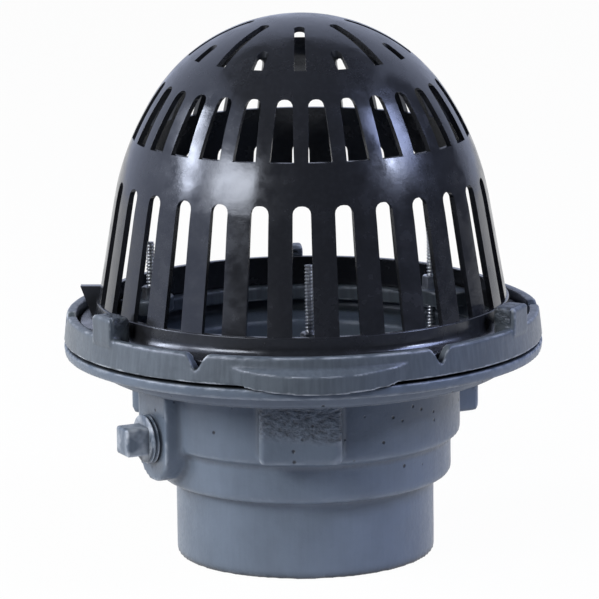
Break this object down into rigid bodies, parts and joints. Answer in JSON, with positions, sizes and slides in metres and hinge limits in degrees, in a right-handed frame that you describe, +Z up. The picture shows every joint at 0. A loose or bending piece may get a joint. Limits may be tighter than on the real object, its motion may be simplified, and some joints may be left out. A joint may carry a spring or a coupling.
{
  "type": "flat roof drain",
  "caption": "Flat roof drain: painted cast-iron flanged sump with plain outlet and side plug, bolted clamp ring with notched gravel guard, and slotted plastic dome strainer that twists to lock.",
  "frame": {"origin": "centre of the outlet spigot's lower face, on the drain's axis", "axes": "+Z up the drain's axis towards the dome, -Y towards the front seen in the picture, +X to that view's right"},
  "size_m": [0.206, 0.2091, 0.2332],
  "materials": {
    "body_paint": "semi-gloss grey paint over sand-cast iron",
    "ring_paint": "semi-gloss grey paint over sand-cast iron",
    "dome_plastic": "glossy as moulded",
    "zinc_steel": "bright zinc plate"
  },
  "bodies": {
    "drain": {"drain_body": "body_paint", "pipe_plug": "body_paint", "clamp_ring": "ring_paint", "stud_front": "zinc_steel", "stud_left": "zinc_steel", "stud_right": "zinc_steel", "nut_front": "zinc_steel", "nut_left": "zinc_steel", "nut_right": "zinc_steel"},
    "dome": {"dome_strainer": "dome_plastic"}
  },
  "joints": [
    {"name": "dome_twist", "type": "hinge", "parent": "drain", "child": "dome", "pos_m": [0, 0, 0.0992], "axis": [0, 0, 1], "range_deg": [-60, 0]}
  ]
}
